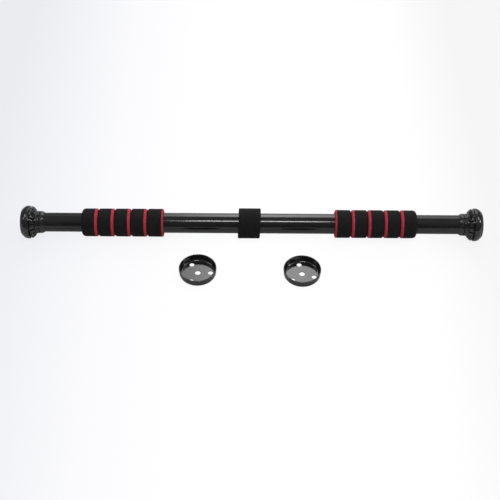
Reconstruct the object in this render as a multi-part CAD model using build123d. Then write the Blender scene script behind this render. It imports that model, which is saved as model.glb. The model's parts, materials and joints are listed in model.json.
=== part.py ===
from build123d import *
import os

# A doorway pull up bar that screws out between two walls, with its two wall cups.
# Millimetres. +X runs along the bar to its right end, +Y away from the user, +Z up.
# The origin is on the bar's axis at the middle of the centre sleeve. The bar lies on
# its two round feet, so the surface below it is one foot radius under the axis.

# --- Driving dimensions ---------------------------------------------------------

# Centre tube, the piece that the user turns.
TUBE_OD = 30.6
TUBE_WALL = 0.6
TUBE_LENGTH = 502.0

# Two end tubes that screw out of the centre tube.
END_TUBE_OD = 29.0
END_TUBE_WALL = 1.2
END_TUBE_LENGTH = 270.5
LEFT_WALL_FACE = 345.5
RIGHT_WALL_FACE = 353.0
SHORTEST_WALL_FACE = 310.0
LONGEST_WALL_FACE = 475.0

# Plug in the middle of the centre tube, which holds the two screw rods.
PLUG_LENGTH = 28.0
PLUG_CROSS_HOLES_X = 7.0
RIVET_DIAMETER = 5.0
RIVET_TIP_RADIUS = 8.0
RIVET_SETBACK = 0.3
ROLL_PIN_DIAMETER = 3.0
ROLL_PIN_LENGTH = 26.0

# Screw rods. Their thread is left as a plain cylinder of its outside diameter.
ROD_DIAMETER = 14.0
SPIGOT_DIAMETER = 10.0
SPIGOT_LENGTH = 12.0
STOP_GAP = 0.5
STOP_WASHER_OD = 22.0
STOP_WASHER_THICKNESS = 2.0
STOP_BOLT_DIAMETER = 6.0
STOP_BOLT_DEPTH = 12.0
STOP_BOLT_HEAD_FLATS = 10.0
STOP_BOLT_HEAD_HEIGHT = 4.0

# Drive nut fixed in the inner end of each end tube, and the glide ring on its neck.
NUT_BODY_LENGTH = 22.0
NUT_NECK_DIAMETER = 22.0
NUT_FLANGE_DIAMETER = 27.0
NUT_FLANGE_THICKNESS = 2.5
NUT_BORE_CLEARANCE = 0.15
NUT_PIN_DIAMETER = 4.0
NUT_PIN_INNER_RADIUS = 9.0
NUT_PIN_SETBACK = 0.2
GLIDE_RING_LENGTH = 8.0
GLIDE_RING_AIR = 0.075
GLIDE_RING_END_AIR = 0.2
GLIDE_RING_SPLIT = 2.0

# Bush in each mouth of the centre tube.
BUSH_SKIRT = 8.0
BUSH_LIP = 2.5
BUSH_WALL = 0.8
BUSH_AIR = 0.1

# Foam grips: black and red rings pushed together in two groups, and a centre sleeve.
FOAM_OD = 42.6
GRIP_OUTER_END = 253.5
BLACK_LENGTH = 20.2
RED_LENGTH = 4.5
LAST_RED_LENGTH = 2.6
RINGS_PER_COLOUR = 5
BLACK_CHAMFER = 2.8
RED_CHAMFER = 2.2
OUTER_END_CHAMFER = 4.4
INNER_END_CHAMFER = 1.8
SLEEVE_OD = 45.8
SLEEVE_LENGTH = 33.0
SLEEVE_CHAMFER = 0.8

# Foot at the outer end of each end tube. Depths are measured from the wall face.
FOOT_RADIUS = 25.0
PAD_THICKNESS = 3.0
PAD_FACE_RADIUS = 18.8
PAD_BEVEL_DEPTH = 1.3
PAD_BEVEL_RADIUS = 20.6
PAD_EDGE_RADIUS = 22.2
PAD_HOLE_DIAMETER = 14.0
CROWN_DEPTH = 5.6
CROWN_RADIUS = 24.1
RIM_START = 9.5
RIM_END = 12.8
RIM_ROUND = 0.9
GROOVE_WIDTH = 2.0
GROOVE_RADIUS = 18.5
RIB_TOP_RADIUS = 24.5
RIB_SHOULDER_DEPTH = 18.5
RIB_SHOULDER_RADIUS = 22.3
RIB_END_DEPTH = 22.0
RIB_COUNT = 16
RIB_GAP = 1.8
RIB_GAP_FLOOR = 0.6
NECK_RADIUS = 16.8
NECK_END = 27.2
NECK_BEAD_DEPTHS = (23.6, 25.6)
NECK_BEAD_RADIUS = 0.35
SOCKET_DEPTH = 8.0
LOAD_WASHER_OD = 27.4
LOAD_WASHER_THICKNESS = 2.0
END_PLUG_FLANGE = 3.0
END_PLUG_LENGTH = 18.0
FOOT_SCREW_DIAMETER = 6.0
FOOT_SCREW_HEAD_DIAMETER = 12.0
FOOT_SCREW_HEAD_HEIGHT = 2.0
FOOT_SCREW_HEAD_BEVEL = 0.5
FOOT_SCREW_CROSS_LENGTH = 7.0
FOOT_SCREW_CROSS_WIDTH = 1.4
FOOT_SCREW_CROSS_DEPTH = 1.2
FOOT_SCREW_END = 26.0
COLLAR_END = 34.4
COLLAR_GROOVE_WIDTH = 0.9
COLLAR_GROOVE_RADIUS = 15.6
COLLAR_RADIUS = 16.8
COLLAR_BEVEL = 0.5
COLLAR_TAPER = 2.8
COLLAR_TIP_RADIUS = 15.4
COLLAR_TIP_BEVEL = 0.6

# Wall cups, lying open side up beside the bar.
CUP_OD = 54.8
CUP_HEIGHT = 12.3
CUP_WALL = 1.2
CUP_CORNER = 4.2
CUP_RIM_OD = 55.8
CUP_RIM_HEIGHT = 3.0
CUP_RIM_ROUND = 0.8
CUP_SCREW_CIRCLE = 37.6
CUP_SCREW_COUNT = 3
CUP_SCREW_HOLE_DIAMETER = 7.4
CUP_CENTRE_HOLE_DIAMETER = 8.4
LEFT_CUP_PLACE = (-75.9, -81.0)
RIGHT_CUP_PLACE = (79.0, -81.9)
LEFT_CUP_TURN = 0.0
RIGHT_CUP_TURN = -18.6

# --- Derived dimensions ---------------------------------------------------------

TUBE_R = TUBE_OD / 2
TUBE_BORE_R = TUBE_R - TUBE_WALL
TUBE_END = TUBE_LENGTH / 2
END_TUBE_R = END_TUBE_OD / 2
END_TUBE_BORE_R = END_TUBE_R - END_TUBE_WALL
PLUG_END = PLUG_LENGTH / 2
ROD_R = ROD_DIAMETER / 2
LOAD_WASHER_END = SOCKET_DEPTH + LOAD_WASHER_THICKNESS
END_TUBE_OUTER_DEPTH = LOAD_WASHER_END + END_PLUG_FLANGE
NUT_NECK_LENGTH = GLIDE_RING_LENGTH + 2 * GLIDE_RING_END_AIR
FURTHEST_NUT_FACE = LONGEST_WALL_FACE - END_TUBE_OUTER_DEPTH - END_TUBE_LENGTH + NUT_BODY_LENGTH
ROD_END = FURTHEST_NUT_FACE + STOP_GAP
SURFACE_Z = -FOOT_RADIUS
RING_PITCH = BLACK_LENGTH + RED_LENGTH


# --- Helpers --------------------------------------------------------------------

def turned(*outline):
    """A solid of revolution about the X axis from (x, radius) corners."""
    return revolve(make_face(Polyline(*outline, close=True)), Axis.X)


def pipe(x_from, x_to, outer_r, inner_r=0.0):
    """A plain ring or rod along X, from one station to the other."""
    return turned((x_from, inner_r), (x_to, inner_r), (x_to, outer_r), (x_from, outer_r))


def radial_rod(x, r_from, r_to, diameter, angle):
    """A round rod that points out from the X axis, at an angle from +Z."""
    rod = Cylinder(diameter / 2, r_to - r_from, align=(Align.CENTER, Align.CENTER, Align.MIN))
    return Pos(x, 0, 0) * Rot(angle, 0, 0) * Pos(0, 0, r_from) * rod


def from_wall(solid, wall_face):
    """Put a foot piece, modelled with its depth along +X, against the right wall face."""
    return Pos(wall_face, 0, 0) * mirror(solid, about=Plane.YZ)


def on_side(solid, side):
    """Keep a right-hand piece, or mirror it to the left-hand half of the bar."""
    return mirror(solid, about=Plane.YZ) if side == "left" else solid


def save(solid, node):
    """Write one node as parts/NODE.step."""
    solid.label = node
    export_step(solid, os.path.join("parts", node + ".step"))


# --- Centre of the bar ----------------------------------------------------------

def rivet_angles():
    """The plug's rivets point to the front and to the back."""
    return (90.0, -90.0)


def main_tube():
    tube = pipe(-TUBE_END, TUBE_END, TUBE_R, TUBE_BORE_R)
    for x in (-PLUG_CROSS_HOLES_X, PLUG_CROSS_HOLES_X):
        for angle in rivet_angles():
            tube -= radial_rod(x, RIVET_TIP_RADIUS, TUBE_R + 1, RIVET_DIAMETER, angle)
    return tube


def core_plug():
    plug = pipe(-PLUG_END, PLUG_END, TUBE_BORE_R)
    for sign in (-1, 1):
        x = sign * PLUG_CROSS_HOLES_X
        plug -= pipe(sign * (PLUG_END - SPIGOT_LENGTH), sign * PLUG_END, SPIGOT_DIAMETER / 2)
        plug -= radial_rod(x, -TUBE_R, TUBE_R, ROLL_PIN_DIAMETER, 0)
        for angle in rivet_angles():
            plug -= radial_rod(x, RIVET_TIP_RADIUS, TUBE_R, RIVET_DIAMETER, angle)
    return plug


def core_rivets():
    """Four flush rivets that hold the plug in the centre tube."""
    flush_radius = TUBE_R - RIVET_SETBACK
    return Compound([
        radial_rod(x, RIVET_TIP_RADIUS, flush_radius, RIVET_DIAMETER, angle)
        for x in (-PLUG_CROSS_HOLES_X, PLUG_CROSS_HOLES_X)
        for angle in rivet_angles()
    ])


def rod_pins():
    """Two roll pins that lock the screw rods in the plug."""
    half = ROLL_PIN_LENGTH / 2
    return Compound([
        radial_rod(x, -half, half, ROLL_PIN_DIAMETER, 0)
        for x in (-PLUG_CROSS_HOLES_X, PLUG_CROSS_HOLES_X)
    ])


def screw_rod():
    rod = turned(
        (PLUG_END - SPIGOT_LENGTH, 0),
        (ROD_END, 0),
        (ROD_END, ROD_R),
        (PLUG_END, ROD_R),
        (PLUG_END, SPIGOT_DIAMETER / 2),
        (PLUG_END - SPIGOT_LENGTH, SPIGOT_DIAMETER / 2),
    )
    rod -= radial_rod(PLUG_CROSS_HOLES_X, -ROD_R, ROD_R, ROLL_PIN_DIAMETER, 0)
    rod -= pipe(ROD_END - STOP_BOLT_DEPTH, ROD_END, STOP_BOLT_DIAMETER / 2)
    return rod


def stop_washer():
    return pipe(ROD_END, ROD_END + STOP_WASHER_THICKNESS, STOP_WASHER_OD / 2, STOP_BOLT_DIAMETER / 2)


def stop_bolt():
    head_face = ROD_END + STOP_WASHER_THICKNESS
    shank = pipe(ROD_END - STOP_BOLT_DEPTH, head_face, STOP_BOLT_DIAMETER / 2)
    hexagon = RegularPolygon(STOP_BOLT_HEAD_FLATS / 2, 6, major_radius=False)
    head = extrude(Plane.YZ * hexagon, STOP_BOLT_HEAD_HEIGHT)
    return shank + Pos(head_face, 0, 0) * head


def mouth_bush():
    """A plastic cap on the tube's mouth: a skirt outside, and a lip that guides the end tube."""
    skirt_r = TUBE_R + BUSH_WALL
    lip_bore_r = END_TUBE_R + BUSH_AIR
    return turned(
        (TUBE_END - BUSH_SKIRT, TUBE_R),
        (TUBE_END, TUBE_R),
        (TUBE_END, lip_bore_r),
        (TUBE_END + BUSH_LIP, lip_bore_r),
        (TUBE_END + BUSH_LIP, skirt_r),
        (TUBE_END - BUSH_SKIRT, skirt_r),
    )


# --- Foam -----------------------------------------------------------------------

def foam_ring(x_from, x_to, outer_r, inner_chamfer=0.0, outer_chamfer=0.0):
    """A closed foam ring, whose corners can be cut at x_from (inner) and x_to (outer)."""
    outline = [(x_from, TUBE_R), (x_to, TUBE_R), (x_to, outer_r - outer_chamfer)]
    if outer_chamfer:
        outline.append((x_to - outer_chamfer, outer_r))
    if inner_chamfer:
        outline.append((x_from + inner_chamfer, outer_r))
    outline.append((x_from, outer_r - inner_chamfer))
    return turned(*outline)


def centre_sleeve():
    half = SLEEVE_LENGTH / 2
    return foam_ring(-half, half, SLEEVE_OD / 2, SLEEVE_CHAMFER, SLEEVE_CHAMFER)


def ring_stations(index):
    """The outer end, colour seam and inner end of one pair of rings; pair 0 is the outermost."""
    outer = GRIP_OUTER_END - index * RING_PITCH
    inner = outer - RING_PITCH
    is_last = index == RINGS_PER_COLOUR - 1
    seam = inner + (LAST_RED_LENGTH if is_last else RED_LENGTH)
    return outer, seam, inner


def black_ring(index):
    """The outermost black ring also covers the mouth bush."""
    outer, seam, _ = ring_stations(index)
    if index > 0:
        return foam_ring(seam, outer, FOAM_OD / 2, outer_chamfer=BLACK_CHAMFER)
    ring = foam_ring(seam, outer, FOAM_OD / 2, outer_chamfer=OUTER_END_CHAMFER)
    return ring - pipe(TUBE_END - BUSH_SKIRT, GRIP_OUTER_END, TUBE_R + BUSH_WALL)


def red_ring(index):
    """Each red ring sits on the side of its black ring that faces the middle of the bar."""
    _, seam, inner = ring_stations(index)
    is_last = index == RINGS_PER_COLOUR - 1
    chamfer = INNER_END_CHAMFER if is_last else RED_CHAMFER
    return foam_ring(inner, seam, FOAM_OD / 2, inner_chamfer=chamfer)


# --- Sliding ends ---------------------------------------------------------------

def end_tube(inner_end):
    tube = pipe(inner_end, inner_end + END_TUBE_LENGTH, END_TUBE_R, END_TUBE_BORE_R)
    for angle in (0, 180):
        x = inner_end + NUT_BODY_LENGTH / 2
        tube -= radial_rod(x, NUT_PIN_INNER_RADIUS, TUBE_R, NUT_PIN_DIAMETER, angle)
    return tube


def drive_nut(inner_end):
    """The nut's body fills the end tube, its neck carries the glide ring, its flange keeps it on."""
    bore_r = ROD_R + NUT_BORE_CLEARANCE
    neck_r = NUT_NECK_DIAMETER / 2
    flange_r = NUT_FLANGE_DIAMETER / 2
    neck_start = inner_end - NUT_NECK_LENGTH
    flange_start = neck_start - NUT_FLANGE_THICKNESS
    nut = turned(
        (flange_start, bore_r),
        (inner_end + NUT_BODY_LENGTH, bore_r),
        (inner_end + NUT_BODY_LENGTH, END_TUBE_BORE_R),
        (inner_end, END_TUBE_BORE_R),
        (inner_end, neck_r),
        (neck_start, neck_r),
        (neck_start, flange_r),
        (flange_start, flange_r),
    )
    for angle in (0, 180):
        x = inner_end + NUT_BODY_LENGTH / 2
        nut -= radial_rod(x, NUT_PIN_INNER_RADIUS, TUBE_R, NUT_PIN_DIAMETER, angle)
    return nut


def nut_pins(inner_end):
    """Two radial pins that hold the drive nut in the end tube."""
    x = inner_end + NUT_BODY_LENGTH / 2
    outer_r = END_TUBE_R - NUT_PIN_SETBACK
    return Compound([
        radial_rod(x, NUT_PIN_INNER_RADIUS, outer_r, NUT_PIN_DIAMETER, angle)
        for angle in (0, 180)
    ])


def glide_ring(inner_end):
    """A split nylon ring that slides in the centre tube without turning."""
    x_to = inner_end - GLIDE_RING_END_AIR
    ring = pipe(
        x_to - GLIDE_RING_LENGTH,
        x_to,
        TUBE_BORE_R - GLIDE_RING_AIR,
        NUT_NECK_DIAMETER / 2 + GLIDE_RING_AIR,
    )
    on_axis = (Align.CENTER, Align.CENTER, Align.MIN)
    split = Box(2 * GLIDE_RING_LENGTH, GLIDE_RING_SPLIT, TUBE_R, align=on_axis)
    return ring - Pos(x_to - GLIDE_RING_LENGTH / 2, 0, 0) * split


# --- Feet, modelled with their depth from the wall face along +X ------------------

def wall_pad():
    return turned(
        (0, PAD_HOLE_DIAMETER / 2),
        (PAD_THICKNESS, PAD_HOLE_DIAMETER / 2),
        (PAD_THICKNESS, PAD_EDGE_RADIUS),
        (PAD_BEVEL_DEPTH, PAD_BEVEL_RADIUS),
        (0, PAD_FACE_RADIUS),
    )


def foot_outline():
    """The foot's outside: a crowned rim, a groove, a domed shoulder and a beaded neck."""
    shoulder_start = RIM_END + GROOVE_WIDTH
    crown = ThreePointArc(
        (PAD_THICKNESS, PAD_EDGE_RADIUS),
        (CROWN_DEPTH, CROWN_RADIUS),
        (RIM_START, FOOT_RADIUS),
    )
    rim = [
        Line((PAD_THICKNESS, FOOT_SCREW_DIAMETER / 2), (PAD_THICKNESS, PAD_EDGE_RADIUS)),
        crown,
        Line((RIM_START, FOOT_RADIUS), (RIM_END - RIM_ROUND, FOOT_RADIUS)),
        Line((RIM_END - RIM_ROUND, FOOT_RADIUS), (RIM_END, FOOT_RADIUS - RIM_ROUND)),
        Line((RIM_END, FOOT_RADIUS - RIM_ROUND), (RIM_END, GROOVE_RADIUS)),
        Line((RIM_END, GROOVE_RADIUS), (shoulder_start, GROOVE_RADIUS)),
        Line((shoulder_start, GROOVE_RADIUS), (shoulder_start, RIB_TOP_RADIUS)),
    ]
    shoulder = ThreePointArc(
        (shoulder_start, RIB_TOP_RADIUS),
        (RIB_SHOULDER_DEPTH, RIB_SHOULDER_RADIUS),
        (RIB_END_DEPTH, NECK_RADIUS),
    )
    neck = [
        Line((RIB_END_DEPTH, NECK_RADIUS), (NECK_END, NECK_RADIUS)),
        Line((NECK_END, NECK_RADIUS), (NECK_END, END_TUBE_R)),
        Line((NECK_END, END_TUBE_R), (SOCKET_DEPTH, END_TUBE_R)),
        Line((SOCKET_DEPTH, END_TUBE_R), (SOCKET_DEPTH, FOOT_SCREW_DIAMETER / 2)),
        Line((SOCKET_DEPTH, FOOT_SCREW_DIAMETER / 2), (PAD_THICKNESS, FOOT_SCREW_DIAMETER / 2)),
    ]
    return rim + [shoulder] + neck


def rubber_foot():
    foot = revolve(make_face(foot_outline()), Axis.X)
    slot_start = RIM_END + GROOVE_WIDTH
    slot_length = RIB_END_DEPTH - slot_start
    slot = Box(slot_length, RIB_GAP, FOOT_RADIUS, align=(Align.MIN, Align.CENTER, Align.MIN))
    for index in range(RIB_COUNT):
        angle = (index + 0.5) * 360 / RIB_COUNT
        foot -= Rot(angle, 0, 0) * Pos(slot_start, 0, NECK_RADIUS + RIB_GAP_FLOOR) * slot
    for depth in NECK_BEAD_DEPTHS:
        foot += turned(
            (depth - NECK_BEAD_RADIUS, NECK_RADIUS - NECK_BEAD_RADIUS),
            (depth + NECK_BEAD_RADIUS, NECK_RADIUS - NECK_BEAD_RADIUS),
            (depth + NECK_BEAD_RADIUS, NECK_RADIUS),
            (depth, NECK_RADIUS + NECK_BEAD_RADIUS),
            (depth - NECK_BEAD_RADIUS, NECK_RADIUS),
        )
    return foot


def load_washer():
    return pipe(SOCKET_DEPTH, LOAD_WASHER_END, LOAD_WASHER_OD / 2, FOOT_SCREW_DIAMETER / 2)


def end_plug():
    """A plastic plug that closes the end tube and takes the foot screw."""
    plug_end = END_TUBE_OUTER_DEPTH + END_PLUG_LENGTH
    plug = turned(
        (LOAD_WASHER_END, 0),
        (plug_end, 0),
        (plug_end, END_TUBE_BORE_R),
        (END_TUBE_OUTER_DEPTH, END_TUBE_BORE_R),
        (END_TUBE_OUTER_DEPTH, END_TUBE_R),
        (LOAD_WASHER_END, END_TUBE_R),
    )
    return plug - pipe(LOAD_WASHER_END, FOOT_SCREW_END, FOOT_SCREW_DIAMETER / 2)


def foot_screw():
    head_start = PAD_THICKNESS - FOOT_SCREW_HEAD_HEIGHT
    screw = turned(
        (head_start, 0),
        (FOOT_SCREW_END, 0),
        (FOOT_SCREW_END, FOOT_SCREW_DIAMETER / 2),
        (PAD_THICKNESS, FOOT_SCREW_DIAMETER / 2),
        (PAD_THICKNESS, FOOT_SCREW_HEAD_DIAMETER / 2),
        (head_start + FOOT_SCREW_HEAD_BEVEL, FOOT_SCREW_HEAD_DIAMETER / 2),
        (head_start, FOOT_SCREW_HEAD_DIAMETER / 2 - FOOT_SCREW_HEAD_BEVEL),
    )
    arm = Box(2 * FOOT_SCREW_CROSS_DEPTH, FOOT_SCREW_CROSS_WIDTH, FOOT_SCREW_CROSS_LENGTH)
    for angle in (0, 90):
        screw -= Pos(head_start, 0, 0) * Rot(angle, 0, 0) * arm
    return screw


def collar():
    """A tapered plastic ring on the end tube, behind the foot's neck."""
    groove_end = NECK_END + COLLAR_GROOVE_WIDTH
    tip_start = COLLAR_END - COLLAR_TIP_BEVEL
    return turned(
        (NECK_END, END_TUBE_R),
        (COLLAR_END, END_TUBE_R),
        (COLLAR_END, COLLAR_TIP_RADIUS - COLLAR_TIP_BEVEL),
        (tip_start, COLLAR_TIP_RADIUS),
        (tip_start - COLLAR_TAPER, COLLAR_RADIUS),
        (groove_end + COLLAR_BEVEL, COLLAR_RADIUS),
        (groove_end, COLLAR_RADIUS - COLLAR_BEVEL),
        (groove_end, COLLAR_GROOVE_RADIUS),
        (NECK_END, COLLAR_GROOVE_RADIUS),
    )


# --- Wall cups ------------------------------------------------------------------

def cup_outline():
    """Half of the cup's section: its flat floor, the corner, the wall and the thick rim."""
    outer_r = CUP_OD / 2
    inner_r = outer_r - CUP_WALL
    rim_r = CUP_RIM_OD / 2
    inner_corner = CUP_CORNER - CUP_WALL
    rim_low = CUP_HEIGHT - CUP_RIM_HEIGHT
    rim_high = CUP_HEIGHT - CUP_RIM_ROUND
    return [
        Line((0, 0), (outer_r - CUP_CORNER, 0)),
        RadiusArc((outer_r - CUP_CORNER, 0), (outer_r, CUP_CORNER), -CUP_CORNER),
        Line((outer_r, CUP_CORNER), (outer_r, rim_low)),
        Line((outer_r, rim_low), (rim_r - CUP_RIM_ROUND, rim_low)),
        RadiusArc((rim_r - CUP_RIM_ROUND, rim_low), (rim_r, rim_low + CUP_RIM_ROUND), -CUP_RIM_ROUND),
        Line((rim_r, rim_low + CUP_RIM_ROUND), (rim_r, rim_high)),
        RadiusArc((rim_r, rim_high), (rim_r - CUP_RIM_ROUND, CUP_HEIGHT), -CUP_RIM_ROUND),
        Line((rim_r - CUP_RIM_ROUND, CUP_HEIGHT), (inner_r + CUP_RIM_ROUND, CUP_HEIGHT)),
        RadiusArc((inner_r + CUP_RIM_ROUND, CUP_HEIGHT), (inner_r, rim_high), -CUP_RIM_ROUND),
        Line((inner_r, rim_high), (inner_r, CUP_CORNER)),
        RadiusArc((inner_r, CUP_CORNER), (inner_r - inner_corner, CUP_WALL), inner_corner),
        Line((inner_r - inner_corner, CUP_WALL), (0, CUP_WALL)),
        Line((0, CUP_WALL), (0, 0)),
    ]


def wall_cup(place, turn):
    """A cup with a hole in the middle and a circle of screw holes in its floor."""
    section = Plane.XZ * make_face(cup_outline())
    cup = revolve(section, Axis.Z)
    cup -= Cylinder(CUP_CENTRE_HOLE_DIAMETER / 2, 4 * CUP_WALL)
    screw_hole = Cylinder(CUP_SCREW_HOLE_DIAMETER / 2, 4 * CUP_WALL)
    for place_on_circle in PolarLocations(CUP_SCREW_CIRCLE / 2, CUP_SCREW_COUNT, turn):
        cup -= place_on_circle * screw_hole
    return Pos(place[0], place[1], SURFACE_Z) * cup


# --- Assembly -------------------------------------------------------------------

os.makedirs("parts", exist_ok=True)

save(main_tube(), "main_tube")
save(core_plug(), "core_plug")
save(core_rivets(), "core_rivets")
save(rod_pins(), "rod_pins")
save(centre_sleeve(), "centre_sleeve")

for side, wall_face in (("left", LEFT_WALL_FACE), ("right", RIGHT_WALL_FACE)):
    inner_end = wall_face - END_TUBE_OUTER_DEPTH - END_TUBE_LENGTH
    centre_pieces = {
        "screw_rod": screw_rod(),
        "stop_washer": stop_washer(),
        "stop_bolt": stop_bolt(),
        "mouth_bush": mouth_bush(),
    }
    for index in range(RINGS_PER_COLOUR):
        centre_pieces[f"black_foam_{index + 1}"] = black_ring(index)
        centre_pieces[f"red_foam_{index + 1}"] = red_ring(index)
    end_pieces = {
        "end_tube": end_tube(inner_end),
        "drive_nut": drive_nut(inner_end),
        "nut_pins": nut_pins(inner_end),
        "glide_ring": glide_ring(inner_end),
        "wall_pad": from_wall(wall_pad(), wall_face),
        "rubber_foot": from_wall(rubber_foot(), wall_face),
        "load_washer": from_wall(load_washer(), wall_face),
        "end_plug": from_wall(end_plug(), wall_face),
        "foot_screw": from_wall(foot_screw(), wall_face),
        "collar": from_wall(collar(), wall_face),
    }
    for name, piece in {**centre_pieces, **end_pieces}.items():
        save(on_side(piece, side), f"{side}_{name}")

save(wall_cup(LEFT_CUP_PLACE, LEFT_CUP_TURN), "left_wall_cup")
save(wall_cup(RIGHT_CUP_PLACE, RIGHT_CUP_TURN), "right_wall_cup")
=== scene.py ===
import json
import math

import bpy
import numpy as np
from mathutils import Matrix, Vector

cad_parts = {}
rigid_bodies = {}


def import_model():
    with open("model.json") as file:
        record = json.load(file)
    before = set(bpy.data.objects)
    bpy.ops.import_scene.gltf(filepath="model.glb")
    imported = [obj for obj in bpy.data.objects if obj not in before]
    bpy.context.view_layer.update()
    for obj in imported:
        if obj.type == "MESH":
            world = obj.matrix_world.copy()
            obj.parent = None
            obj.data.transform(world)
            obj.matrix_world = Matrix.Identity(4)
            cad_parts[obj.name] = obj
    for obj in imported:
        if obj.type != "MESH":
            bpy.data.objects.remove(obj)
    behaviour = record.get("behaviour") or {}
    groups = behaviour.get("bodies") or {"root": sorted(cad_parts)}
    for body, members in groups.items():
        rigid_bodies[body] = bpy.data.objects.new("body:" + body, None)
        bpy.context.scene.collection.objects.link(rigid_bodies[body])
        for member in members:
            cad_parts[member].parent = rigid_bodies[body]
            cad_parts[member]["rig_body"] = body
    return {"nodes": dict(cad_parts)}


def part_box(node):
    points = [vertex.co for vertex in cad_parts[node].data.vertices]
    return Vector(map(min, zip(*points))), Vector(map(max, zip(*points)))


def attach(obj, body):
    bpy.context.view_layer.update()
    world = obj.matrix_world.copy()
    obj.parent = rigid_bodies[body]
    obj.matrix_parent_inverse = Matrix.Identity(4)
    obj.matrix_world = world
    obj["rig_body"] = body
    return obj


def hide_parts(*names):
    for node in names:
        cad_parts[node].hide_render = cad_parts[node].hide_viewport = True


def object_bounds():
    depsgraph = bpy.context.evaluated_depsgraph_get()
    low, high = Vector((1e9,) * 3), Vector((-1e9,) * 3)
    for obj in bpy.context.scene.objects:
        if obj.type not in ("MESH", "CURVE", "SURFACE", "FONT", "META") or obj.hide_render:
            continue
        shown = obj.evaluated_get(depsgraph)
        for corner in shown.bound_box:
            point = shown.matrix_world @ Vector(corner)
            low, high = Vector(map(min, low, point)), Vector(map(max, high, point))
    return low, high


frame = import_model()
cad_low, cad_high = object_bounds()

MM = 0.001
NODES = frame["nodes"]
RINGS = 5
SIDES = {"left": -1, "right": 1}


# --- Mesh helpers ---------------------------------------------------------------

def rounded(corners, steps=6, hold=0.06 * MM):
    """Points of a closed outline from (x, r, rounding) corners, with points that hold each flat."""
    points = []
    count = len(corners)
    for i in range(count):
        corner = np.array(corners[i][:2])
        before = np.array(corners[i - 1][:2]) - corner
        after = np.array(corners[(i + 1) % count][:2]) - corner
        size_before, size_after = np.linalg.norm(before), np.linalg.norm(after)
        before, after = before / size_before, after / size_after
        half = math.acos(np.clip(before @ after, -1, 1)) / 2
        cut = min(corners[i][2] / math.tan(half), 0.46 * size_before, 0.46 * size_after)
        if cut < 1e-7:
            points.append(corner)
            continue
        bisector = (before + after) / np.linalg.norm(before + after)
        centre = corner + bisector * cut / math.cos(half)
        start, end = corner + before * cut, corner + after * cut
        points.append(start + before * min(hold, 0.2 * size_before))
        first, last = start - centre, end - centre
        angle = math.pi - 2 * half
        for step in range(steps + 1):
            t = step / steps
            weights = math.sin((1 - t) * angle), math.sin(t * angle)
            points.append(centre + (first * weights[0] + last * weights[1]) / math.sin(angle))
        points.append(end + after * min(hold, 0.2 * size_after))
    return np.array(points)


def bend(first, middle, last, count, rounding=0.0):
    """Corners along the circle through three points, from first to just before last."""
    a, b, c = (np.array(point) for point in (first, middle, last))
    sides = np.array([b - a, c - a])
    centre = a + np.linalg.solve(2 * sides, (sides ** 2).sum(axis=1))
    start, end = a - centre, c - centre
    turn = math.atan2(start[0] * end[1] - start[1] * end[0], start @ end)
    corners = []
    for step in range(count):
        t = turn * step / count
        x = centre[0] + start[0] * math.cos(t) - start[1] * math.sin(t)
        r = centre[1] + start[0] * math.sin(t) + start[1] * math.cos(t)
        corners.append((x, r, rounding if step == 0 else 0.0))
    return corners


def lathe(name, outline, angles, reshape=None):
    """A closed mesh turned about X from an outline of (x, r). reshape moves (x, r) by angle from +Z."""
    x = np.repeat(outline[:, 0][None, :], len(angles), axis=0)
    r = np.repeat(outline[:, 1][None, :], len(angles), axis=0)
    a = np.repeat(angles[:, None], len(outline), axis=1)
    if reshape:
        x, r = reshape(x, r, a)
    co = np.stack([x, -r * np.sin(a), r * np.cos(a)], axis=-1).reshape(-1, 3)
    rows, columns = len(angles), len(outline)
    i, j = np.meshgrid(np.arange(rows), np.arange(columns), indexing="ij")
    i_next, j_next = (i + 1) % rows, (j + 1) % columns
    faces = np.stack([i, i_next, i_next, i], -1) * columns + np.stack([j, j, j_next, j_next], -1)
    faces = faces.reshape(-1, 4)
    a0, a1, a2, a3 = (co[faces[:, k]] for k in range(4))
    volume = (np.cross(a1 - a0, a2 - a0) * a0).sum() + (np.cross(a2 - a0, a3 - a0) * a0).sum()
    if volume < 0:
        faces = faces[:, ::-1]
    mesh = bpy.data.meshes.new(name)
    mesh.from_pydata(co.tolist(), [], faces.tolist())
    mesh.polygons.foreach_set("use_smooth", np.ones(len(faces), bool))
    mesh.update()
    piece = bpy.data.objects.new(name, mesh)
    bpy.context.scene.collection.objects.link(piece)
    return piece


def even(count):
    """Evenly spaced angles round a full turn."""
    return np.arange(count) * 2 * math.pi / count


def waves(x, a, seed, amount):
    """A small smooth unevenness over a turned surface."""
    rng = np.random.default_rng(seed)
    total = np.zeros_like(x)
    for turns in (1, 2, 3, 5, 7):
        along = rng.uniform(60, 260)
        total += np.sin(turns * a + rng.uniform(0, 6.28)) * np.cos(along * x + rng.uniform(0, 6.28)) / turns
    return total * amount


def finish_piece(piece, node, slot):
    """The piece stands for its CAD node, in its slot's material, and rides on that node's body."""
    piece.data.materials.append(MATERIALS[slot])
    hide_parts(node)
    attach(piece, NODES[node]["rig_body"])


# --- Node helpers ---------------------------------------------------------------

def link_all(tree, *pairs):
    """Each pair is an output and the input that it feeds."""
    for start, end in pairs:
        tree.links.new(start, end)


def math_node(tree, operation, value, number):
    node = tree.nodes.new("ShaderNodeMath")
    node.operation = operation
    tree.links.new(value, node.inputs[0])
    node.inputs[1].default_value = number
    return node.outputs[0]


def ramp_node(tree, value, stops, interpolation="LINEAR"):
    """A colour ramp over value, from stops of (position, colour) or (position, grey level)."""
    node = tree.nodes.new("ShaderNodeValToRGB")
    elements = node.color_ramp.elements
    node.color_ramp.interpolation = interpolation
    while len(elements) < len(stops):
        elements.new(0.5)
    for element, (position, level) in zip(elements, stops):
        element.position = position
        element.color = (*(level if isinstance(level, tuple) else (level,) * 3), 1)
    tree.links.new(value, node.inputs["Fac"])
    return node.outputs["Color"]


# --- Materials ------------------------------------------------------------------

# The blue of a cool grey, as a share of its red.
COOL = 1.04
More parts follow.
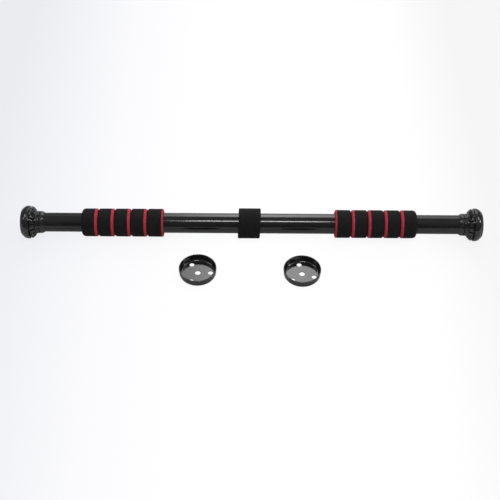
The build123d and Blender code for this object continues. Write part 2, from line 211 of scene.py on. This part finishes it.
# Features per metre along X, Y and Z in the marks on metal.
PLATED = (300, 300, 300)
TURNED = (2600, 60, 60)


class Surface:
    """A Principled material whose colour, roughness and bump come from noise in object space."""

    def __init__(self, name, **sockets):
        self.material = bpy.data.materials.new(name)
        self.material.use_nodes = True
        self.tree = self.material.node_tree
        self.shader = self.tree.nodes["Principled BSDF"]
        self.place = self.tree.nodes.new("ShaderNodeTexCoord").outputs["Object"]
        for socket, value in sockets.items():
            self.shader.inputs[socket.replace("_", " ")].default_value = value

    def stretched(self, x, y, z):
        """The place with each axis scaled, for noise that isn't the same size along all three."""
        node = self.tree.nodes.new("ShaderNodeMapping")
        node.inputs["Scale"].default_value = (x, y, z)
        self.tree.links.new(self.place, node.inputs["Vector"])
        return node.outputs["Vector"]

    def noise(self, scale, detail=2.0, roughness=0.5, place=None):
        node = self.tree.nodes.new("ShaderNodeTexNoise")
        node.inputs["Scale"].default_value = scale
        node.inputs["Detail"].default_value = detail
        node.inputs["Roughness"].default_value = roughness
        self.tree.links.new(place or self.place, node.inputs["Vector"])
        return node.outputs["Fac"]

    def cells(self, scale):
        node = self.tree.nodes.new("ShaderNodeTexVoronoi")
        node.inputs["Scale"].default_value = scale
        self.tree.links.new(self.place, node.inputs["Vector"])
        return node.outputs["Distance"]

    def colour(self, value, *stops):
        self.tree.links.new(ramp_node(self.tree, value, stops), self.shader.inputs["Base Color"])

    def roughness(self, value, low, high, to_low, to_high):
        """Roughness runs from to_low to to_high as value runs from low to high."""
        node = self.tree.nodes.new("ShaderNodeMapRange")
        node.inputs["From Min"].default_value = low
        node.inputs["From Max"].default_value = high
        node.inputs["To Min"].default_value = to_low
        node.inputs["To Max"].default_value = to_high
        link_all(
            self.tree,
            (value, node.inputs["Value"]),
            (node.outputs["Result"], self.shader.inputs["Roughness"]),
        )

    def bump(self, *layers):
        """Each layer is (height, distance in metres, strength), from the coarsest to the finest."""
        normal = None
        for height, distance, strength in layers:
            node = self.tree.nodes.new("ShaderNodeBump")
            node.inputs["Distance"].default_value = distance
            node.inputs["Strength"].default_value = strength
            self.tree.links.new(height, node.inputs["Height"])
            if normal:
                self.tree.links.new(normal, node.inputs["Normal"])
            normal = node.outputs["Normal"]
        self.tree.links.new(normal, self.shader.inputs["Normal"])


def grey(level, blue=1.0):
    """A grey whose blue is scaled by the given share."""
    return (level, level, level * blue)


def gloss_paint(name, low, high, index, peel):
    """Black stove paint: deep gloss, an orange peel and a little dust."""
    s = Surface(name, IOR=index)
    s.colour(s.noise(60, 5), (0.35, grey(low)), (0.65, grey(high, COOL)))
    s.roughness(s.noise(90, 4, 0.6), 0.3, 0.75, 0.07, 0.16)
    s.bump((s.noise(38, 1), 0.6 * MM, 0.10), (s.noise(420, 2), 0.05 * MM, peel))
    return s.material


def foam(name, dark, base, light):
    """Closed-cell foam: matt, with a fine grain of cells and soft mottling."""
    s = Surface(name, IOR=1.45, Specular_IOR_Level=0.2)
    pores = s.cells(1500)
    mottled = s.noise(160, 4, 0.65)
    s.colour(mottled, (0.25, dark), (0.5, base), (0.78, light))
    s.roughness(s.noise(700, 2), 0.3, 0.7, 0.72, 0.9)
    s.bump(
        (s.noise(110, 2), 0.35 * MM, 0.25),
        (pores, 0.22 * MM, 0.55),
        (s.noise(3200, 2), 0.08 * MM, 0.5),
    )
    return s.material


def soft_plastic(name, dark, light, rough, grain, depth):
    """Moulded rubber or vinyl: a smooth skin with faint flow and a fine grain."""
    s = Surface(name, IOR=1.58)
    s.colour(s.noise(75, 4, 0.6), (0.3, dark), (0.7, light))
    s.roughness(s.noise(220, 3), 0.3, 0.72, *rough)
    s.bump((s.noise(70, 1), 0.4 * MM, 0.12), (s.noise(grain, 3), 0.08 * MM, depth))
    return s.material


def metal(name, dark, light, rough, marks_per_metre=PLATED):
    """Plated, oiled or turned metal. Turning marks are dense along X, so each runs round the piece."""
    s = Surface(name, Metallic=1.0)
    marks = s.noise(1, 3, 0.6, s.stretched(*marks_per_metre))
    s.colour(s.noise(90, 5, 0.65), (0.28, dark), (0.72, light))
    s.roughness(marks, 0.3, 0.7, *rough)
    s.bump((marks, 0.04 * MM, 0.25), (s.noise(900, 2), 0.03 * MM, 0.15))
    return s.material


# Each slot's maker and its values. Colours run from dark to light, and roughness is a range.
RECIPES = {
    "black_tube_paint": (gloss_paint, 0.006, 0.010, 1.5, 0.1),
    "cup_paint": (gloss_paint, 0.010, 0.017, 1.58, 0.35),
    "black_foam": (foam, grey(0.0072), grey(0.0098), grey(0.014, 1.03)),
    "red_foam": (foam, (0.42, 0.031, 0.05), (0.50, 0.040, 0.063), (0.58, 0.054, 0.079)),
    "gloss_black_pvc": (soft_plastic, grey(0.010), grey(0.016, COOL), (0.06, 0.15), 1500, 0.12),
    "pad_rubber": (soft_plastic, grey(0.010), grey(0.016), (0.6, 0.78), 1300, 0.4),
    "black_nylon": (soft_plastic, grey(0.014), grey(0.02), (0.35, 0.5), 1100, 0.25),
    "white_nylon": (soft_plastic, (0.70, 0.69, 0.65), (0.78, 0.77, 0.73), (0.35, 0.5), 1100, 0.2),
    "plated_steel": (metal, (0.50, 0.50, 0.49), (0.66, 0.66, 0.65), (0.2, 0.36)),
    "oiled_steel": (metal, (0.17, 0.16, 0.15), (0.30, 0.285, 0.27), (0.22, 0.42), TURNED),
    "nut_brass": (metal, (0.58, 0.40, 0.16), (0.75, 0.55, 0.25), (0.22, 0.38), TURNED),
}
MATERIALS = {name: make(name, *values) for name, (make, *values) in RECIPES.items()}


# --- Foam rings and sleeve --------------------------------------------------------

# How far a ring's pressed end bulges, as (width along X, depth) of a quarter ellipse.
OUTERMOST_BULGE = (6.0 * MM, 4.9 * MM)
BLACK_BULGE = (3.4 * MM, 4.3 * MM)
RED_BULGE = (2.5 * MM, 3.8 * MM)
LAST_RED_BULGE = (1.6 * MM, 2.6 * MM)
SEAM_ROUNDING = 0.16 * MM
SLEEVE_ROUNDING = 1.1 * MM
# The foam's outside dips by DIP in the middle of its length, and is uneven by UNEVEN.
DIP = 0.10 * MM
UNEVEN = 0.07 * MM


def foam_piece(node, slot, corners, seed, slant=0.0, around=144):
    """A foam ring from its section. A slant leans its ends over, so that its top is further along X."""
    low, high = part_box(node)
    radius, bore = high.z, min(c[1] for c in corners)
    start, length = low.x, high.x - low.x

    def reshape(x, r, a):
        outside = np.clip((r - bore) / (radius - bore), 0, 1) ** 3
        belly = np.sin(np.clip((x - start) / length, 0, 1) * math.pi)
        r = r + outside * belly * (waves(x, a, seed, UNEVEN) - DIP)
        return x + slant * r * np.cos(a), r

    piece = lathe(f"{node}_piece", rounded(corners, 8), even(around), reshape)
    finish_piece(piece, node, slot)


def swollen_end(end_x, towards, radius, bulge, steps=8):
    """Corners of a pressed ring's bulging end, from its outside to its end face."""
    width, depth = bulge
    corners = []
    for step in range(steps + 1):
        t = step / steps * math.pi / 2
        x = end_x - towards * width * (1 - math.sin(t))
        corners.append((x, radius - depth * (1 - math.cos(t)), 0.0))
    return corners


def ring_corners(side, index, colour):
    """The ring's node and section. A black ring bulges at its outer end, and a red one at its inner end.

    The outermost black ring is also stepped inside, over the mouth bush.
    """
    node = f"{side}_{colour}_foam_{index + 1}"
    low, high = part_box(node)
    sign = SIDES[side]
    outer_x, inner_x = (high.x, low.x) if sign > 0 else (low.x, high.x)
    radius, bore = high.z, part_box("main_tube")[1].z
    inner_bore, outer_bore = (inner_x, bore, 0.0), (outer_x, bore, 0.0)
    if colour == "red":
        end = swollen_end(inner_x, -sign, radius, LAST_RED_BULGE if index == RINGS - 1 else RED_BULGE)
        return node, [inner_bore, *end[::-1], (outer_x, radius, SEAM_ROUNDING), outer_bore]
    corners = [inner_bore, (inner_x, radius, SEAM_ROUNDING)]
    if index > 0:
        return node, [*corners, *swollen_end(outer_x, sign, radius, BLACK_BULGE), outer_bore]
    bush_low, bush_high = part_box(f"{side}_mouth_bush")
    step_x = bush_low.x if sign > 0 else bush_high.x
    corners += swollen_end(outer_x, sign, radius, OUTERMOST_BULGE, 12)
    return node, [*corners, (outer_x, bush_high.z, 0.0), (step_x, bush_high.z, 0.0), (step_x, bore, 0.0)]


def foam_grips():
    for side in SIDES:
        for index in range(RINGS):
            for colour in ("black", "red"):
                node, corners = ring_corners(side, index, colour)
                seed = 17 * index + (5 if colour == "red" else 2) + (100 if side == "left" else 200)
                foam_piece(node, f"{colour}_foam", corners, seed)


def centre_sleeve():
    low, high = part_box("centre_sleeve")
    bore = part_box("main_tube")[1].z
    corners = [
        (low.x, bore, 0.0),
        (low.x, high.z, SLEEVE_ROUNDING),
        (high.x, high.z, SLEEVE_ROUNDING),
        (high.x, bore, 0.0),
    ]
    foam_piece("centre_sleeve", "black_foam", corners, 7, slant=0.045, around=160)


# --- Feet -----------------------------------------------------------------------

# Depths from the wall and radii of the feet, pads and collars, in mm. A pair is (depth, radius).
RIBS = 16
RIM_FACE, RIM_CROWN, RIM_EDGE = (3.0, 22.2), (5.6, 24.1), (9.5, 25.0)
GROOVE_START, GROOVE_END, GROOVE_RADIUS = 12.8, 15.4, 17.9
SHOULDER_TOP, SHOULDER_MIDDLE, SHOULDER_END = (15.4, 24.4), (18.7, 22.3), (22.0, 16.85)
SLOT_FLOOR = 17.4
NECK_RADIUS, BEAD_RADIUS, BEAD_HALF_WIDTH, BEADS = 16.8, 17.2, 0.5, (23.6, 25.6)
FOOT_LENGTH, FOOT_SOCKET, FOOT_BORE = 27.2, 8.0, 3.0
# Beyond OUTSIDE_RADIUS the foot's skin is uneven by FOOT_UNEVEN.
OUTSIDE_RADIUS, FOOT_UNEVEN, FOOT_SEED = 16.0, 0.03, 31
# Half the width of the gap between two ribs, the width of its wall, and the drop of the ribs' edges.
GAP_HALF, GAP_WALL = 0.7, 0.5
EDGE_START, EDGE_WIDTH, EDGE_DROP = 1.1, 2.0, 0.35
PAD_BORE, PAD_THICKNESS, PAD_RADIUS = 7.0, 3.0, 22.2
PAD_SHOULDER, PAD_FACE_RADIUS = (1.3, 20.6), 18.8
PAD_GROOVES, PAD_GROOVE_DEPTH = (16.8, 14.4, 12.0, 9.6), 0.7
PAD_GROOVE_HALF_MOUTH, PAD_GROOVE_HALF_FLOOR = 0.55, 0.3
COLLAR_LENGTH = 7.2


def in_metres(corners):
    return [(x * MM, r * MM, rounding * MM) for x, r, rounding in corners]


def wall_side(side, node):
    """X of the end of the node that faces the side's wall."""
    low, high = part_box(node)
    return high.x if SIDES[side] > 0 else low.x


def turned_from_wall(side, node, start, corners, slot, steps, angles, shape=None):
    """A piece turned from corners in mm, whose depths run inwards from X = start."""
    def reshape(depth, r, a):
        if shape:
            r = shape(depth, r, a)
        return start - SIDES[side] * depth, r

    outline = rounded(in_metres(corners), steps)
    finish_piece(lathe(f"{node}_piece", outline, angles, reshape), node, slot)


def foot_angles():
    """Stations round the foot, closer together where the gaps between the ribs have their edges."""
    half = (0, 1.1, 1.8, 2.3, 2.7, 3.1, 3.6, 4.4, 5.6, 7.2, 9.2)
    pitch = 360 / RIBS
    stations = [-x for x in half[:0:-1]] + list(half) + [pitch / 2]
    return np.radians(sorted((i + 0.5) * pitch + s for i in range(RIBS) for s in stations))


def ribbed(depth, r, a):
    """The foot's radius with the gaps between its ribs cut in and the ribs' edges rounded down."""
    pitch = 2 * math.pi / RIBS
    arc = np.abs(a % pitch - pitch / 2) * r
    floor_r = SLOT_FLOOR * MM
    in_slot = (depth > (GROOVE_END - 0.05) * MM) & (r > floor_r)
    gap = 1 - np.clip((arc - GAP_HALF * MM) / (GAP_WALL * MM), 0, 1)
    gap = gap * gap * (3 - 2 * gap)
    edge = np.clip(1 - (arc - EDGE_START * MM) / (EDGE_WIDTH * MM), 0, 1) ** 2 * EDGE_DROP * MM
    cut = np.where(in_slot, gap * (r - floor_r) + (1 - gap) * edge, 0)
    return r - cut + waves(depth, a, FOOT_SEED, FOOT_UNEVEN * MM) * (r > OUTSIDE_RADIUS * MM)


def rubber_foot(side):
    """The foot's rim, groove, ribbed shoulder and beaded neck, with softened moulded edges."""
    tube_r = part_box(f"{side}_end_tube")[1].z / MM
    section = [(RIM_FACE[0], FOOT_BORE, 0.0)]
    section += bend(RIM_FACE, RIM_CROWN, RIM_EDGE, 7, 0.25)
    section += [(*RIM_EDGE, 0.0), (GROOVE_START, RIM_EDGE[1], 1.2)]
    section += [(GROOVE_START, GROOVE_RADIUS, 0.4), (GROOVE_END, GROOVE_RADIUS, 0.4)]
    section += bend(SHOULDER_TOP, SHOULDER_MIDDLE, SHOULDER_END, 9, 1.0)
    section += [(*SHOULDER_END, 0.5)]
    for bead in BEADS:
        section += [(bead - BEAD_HALF_WIDTH, NECK_RADIUS, 0.1), (bead, BEAD_RADIUS, 0.3)]
        section += [(bead + BEAD_HALF_WIDTH, NECK_RADIUS, 0.1)]
    section += [(FOOT_LENGTH, NECK_RADIUS, 0.35), (FOOT_LENGTH, tube_r, 0.0)]
    section += [(FOOT_SOCKET, tube_r, 0.0), (FOOT_SOCKET, FOOT_BORE, 0.0)]
    wall = wall_side(side, f"{side}_wall_pad")
    turned_from_wall(
        side, f"{side}_rubber_foot", wall, section, "gloss_black_pvc", 5, foot_angles(), ribbed
    )


def wall_pad(side):
    """The pad that grips the wall, with concentric grip grooves in its face."""
    node = f"{side}_wall_pad"
    corners = [(0.0, PAD_BORE, 0.25), (PAD_THICKNESS, PAD_BORE, 0.0), (PAD_THICKNESS, PAD_RADIUS, 0.1)]
    corners += [(*PAD_SHOULDER, 2.5), (0.0, PAD_FACE_RADIUS, 0.6)]
    for radius in PAD_GROOVES:
        corners += [(0.0, radius + PAD_GROOVE_HALF_MOUTH, 0.12)]
        corners += [(PAD_GROOVE_DEPTH, radius + PAD_GROOVE_HALF_FLOOR, 0.12)]
        corners += [(PAD_GROOVE_DEPTH, radius - PAD_GROOVE_HALF_FLOOR, 0.12)]
        corners += [(0.0, radius - PAD_GROOVE_HALF_MOUTH, 0.12)]
    turned_from_wall(side, node, wall_side(side, node), corners, "pad_rubber", 3, even(144))


def collar(side):
    """The tapered ring behind the foot, with soft moulded edges."""
    node = f"{side}_collar"
    tube_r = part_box(f"{side}_end_tube")[1].z / MM
    corners = [
        (0.0, tube_r, 0.0), (COLLAR_LENGTH, tube_r, 0.0), (COLLAR_LENGTH, 14.8, 0.3), (6.6, 15.4, 0.35),
        (3.8, 16.8, 1.2), (0.9, 16.8, 0.55), (0.9, 15.6, 0.15), (0.0, 15.6, 0.0),
    ]
    turned_from_wall(side, node, wall_side(side, node), corners, "gloss_black_pvc", 5, even(144))


def dress_cad_nodes():
    """Every CAD node takes the material of its slot, whose name may have a number after a dot."""
    for piece in NODES.values():
        for place in piece.material_slots:
            if place.material:
                place.material = MATERIALS[place.material.name.split(".")[0]]


# --- Stage ----------------------------------------------------------------------

def camera():
    """The camera looks down on the object from in front, rolled very slightly."""
    elevation, distance, roll = math.radians(46), 1.6, math.radians(0.37)
    aim_right, aim_down = 0.00145, 0.0406
    up = Vector((0, math.sin(elevation), math.cos(elevation)))
    ahead = Vector((0, math.cos(elevation), -math.sin(elevation)))
    data = bpy.data.cameras.new("camera")
    data.lens, data.sensor_width = 75.6, 36
    seat = bpy.data.objects.new("camera", data)
    bpy.context.scene.collection.objects.link(seat)
    seat.location = Vector((aim_right, 0, 0)) - aim_down * up - ahead * distance
    turn = Matrix((Vector((1, 0, 0)), up, -ahead)).transposed()
    seat.rotation_euler = (turn @ Matrix.Rotation(roll, 3, "Z")).to_euler()
    bpy.context.scene.camera = seat


def world():
    """White behind the object, and a dim studio, lighter overhead, in reflections."""
    sky = bpy.data.worlds.new("studio")
    bpy.context.scene.world = sky
    sky.use_nodes = True
    tree = sky.node_tree
    tree.nodes.clear()
    output = tree.nodes.new("ShaderNodeOutputWorld")
    place = tree.nodes.new("ShaderNodeTexCoord").outputs["Generated"]
    split = tree.nodes.new("ShaderNodeSeparateXYZ")
    tree.links.new(place, split.inputs["Vector"])
    room = tree.nodes.new("ShaderNodeBackground")
    by_height = ramp_node(tree, split.outputs["Z"], [(0.0, 0.13), (0.5, 0.17), (1.0, 0.42)])
    white = tree.nodes.new("ShaderNodeBackground")
    white.inputs["Color"].default_value = (0.93, 0.94, 0.96, 1)
    mix = tree.nodes.new("ShaderNodeMixShader")
    rays = tree.nodes.new("ShaderNodeLightPath")
    link_all(
        tree,
        (by_height, room.inputs["Color"]),
        (rays.outputs["Is Camera Ray"], mix.inputs["Fac"]),
        (room.outputs["Background"], mix.inputs[1]),
        (white.outputs["Background"], mix.inputs[2]),
        (mix.outputs["Shader"], output.inputs["Surface"]),
    )


def plane(name, width, depth):
    """A flat rectangle round its own middle, facing +Z."""
    mesh = bpy.data.meshes.new(name)
    w, d = width / 2, depth / 2
    mesh.from_pydata([(-w, -d, 0), (w, -d, 0), (w, d, 0), (-w, d, 0)], [], [(0, 1, 2, 3)])
    piece = bpy.data.objects.new(name, mesh)
    bpy.context.scene.collection.objects.link(piece)
    return piece


def empty_material(name):
    """A material's bare node tree, its output, and the place on the piece split into X, Y and Z."""
    material = bpy.data.materials.new(name)
    material.use_nodes = True
    tree = material.node_tree
    tree.nodes.clear()
    output = tree.nodes.new("ShaderNodeOutputMaterial")
    split = tree.nodes.new("ShaderNodeSeparateXYZ")
    tree.links.new(tree.nodes.new("ShaderNodeTexCoord").outputs["Object"], split.inputs["Vector"])
    return material, tree, output, split


def floor():
    """A plain pale floor just under the object's lowest point. Its glow, seen only by the camera, carries
    painted shade that makes it a little darker towards both sides.
    """
    piece = plane("floor", 14, 14)
    piece.location.z = cad_low.z - 0.05 * MM
    material, tree, output, split = empty_material("pale_floor")
    across = math_node(tree, "ADD", split.outputs["X"], 0.5)
    # Painted shade: the glow's colour darkens and turns cooler towards the floor's sides.
    painted_shade_glow = ramp_node(
        tree, across,
        [
            (0.08, (0.75, 0.76, 0.79)), (0.15, (0.79, 0.80, 0.83)), (0.28, (0.88, 0.88, 0.90)),
            (0.425, (0.925, 0.925, 0.93)), (0.5, 0.945), (0.77, 0.91), (0.88, 0.83),
        ],
    )
    seen = tree.nodes.new("ShaderNodeBsdfDiffuse")
    seen.inputs["Color"].default_value = (0.10, 0.10, 0.10, 1)
    glow = tree.nodes.new("ShaderNodeEmission")
    both = tree.nodes.new("ShaderNodeAddShader")
    lighting = tree.nodes.new("ShaderNodeBsdfDiffuse")
    lighting.inputs["Color"].default_value = (0.75, 0.75, 0.75, 1)
    mix = tree.nodes.new("ShaderNodeMixShader")
    rays = tree.nodes.new("ShaderNodeLightPath")
    link_all(
        tree,
        (painted_shade_glow, glow.inputs["Color"]),
        (seen.outputs["BSDF"], both.inputs[0]),
        (glow.outputs["Emission"], both.inputs[1]),
        (rays.outputs["Is Camera Ray"], mix.inputs["Fac"]),
        (lighting.outputs["BSDF"], mix.inputs[1]),
        (both.outputs["Shader"], mix.inputs[2]),
        (mix.outputs["Shader"], output.inputs["Surface"]),
    )
    piece.data.materials.append(material)


def back_panel():
    """A tall soft panel behind the object, brightest near its top, which the gloss pieces reflect."""
    width, height = 2.6, 2.76
    piece = plane("back_panel", width, height)
    piece.location = (0.05, 1.8, height / 2)
    piece.rotation_euler = (math.radians(90), 0, 0)
    material, tree, output, split = empty_material("panel_light")
    upwards = math_node(tree, "ADD", math_node(tree, "DIVIDE", split.outputs["Y"], height), 0.5)
    across = math_node(tree, "ADD", math_node(tree, "DIVIDE", split.outputs["X"], width), 0.5)
    height_stops = [(0.0, 0.13), (0.212, 0.36), (0.349, 0.80), (0.7, 0.85), (0.85, 1.0)]
    width_stops = [(0.0, 0.08), (0.25, 0.13), (0.5, 1.0), (0.75, 0.36), (1.0, 0.14)]
    product = tree.nodes.new("ShaderNodeMix")
    product.data_type = "RGBA"
    product.blend_type = "MULTIPLY"
    product.inputs["Factor"].default_value = 1
    glow = tree.nodes.new("ShaderNodeEmission")
    glow.inputs["Strength"].default_value = 5.6
    link_all(
        tree,
        (ramp_node(tree, upwards, height_stops), product.inputs["A"]),
        (ramp_node(tree, across, width_stops, "EASE"), product.inputs["B"]),
        (product.outputs["Result"], glow.inputs["Color"]),
        (glow.outputs["Emission"], output.inputs["Surface"]),
    )
    piece.data.materials.append(material)
    piece.visible_camera = False
    piece.visible_shadow = False


def softbox(name, width, depth, radiance, towards, distance):
    """A soft area light at a distance in one direction from the object, facing it."""
    middle = Vector((0.02, 0, 0))
    data = bpy.data.lights.new(name, "AREA")
    data.shape = "RECTANGLE"
    data.size, data.size_y = width, depth
    data.energy = radiance * math.pi * width * depth
    light = bpy.data.objects.new(name, data)
    bpy.context.scene.collection.objects.link(light)
    direction = Vector(towards).normalized()
    light.location = middle + direction * distance
    light.rotation_euler = direction.to_track_quat("Z", "Y").to_euler()


def softboxes():
    """A narrow light high in front draws the thin line along the tube. Side lights pick out the feet."""
    softbox("top_softbox", 0.42, 0.16, 21.0, (0, -0.375, 0.927), 1.5)
    softbox("right_softbox", 0.22, 0.3, 14.0, (0.88, -0.10, 0.46), 1.5)
    softbox("left_softbox", 0.22, 0.3, 3.5, (-0.88, -0.10, 0.46), 1.5)
    softbox("right_top_softbox", 0.45, 0.5, 4.0, (0.6, 0.0, 0.8), 1.6)
    softbox("left_top_softbox", 0.45, 0.5, 3.2, (-0.6, 0.0, 0.8), 1.6)


foam_grips()
centre_sleeve()
for side in SIDES:
    rubber_foot(side)
    wall_pad(side)
    collar(side)
dress_cad_nodes()
camera()
world()
floor()
back_panel()
softboxes()
bpy.context.scene.view_settings.view_transform = "Standard"
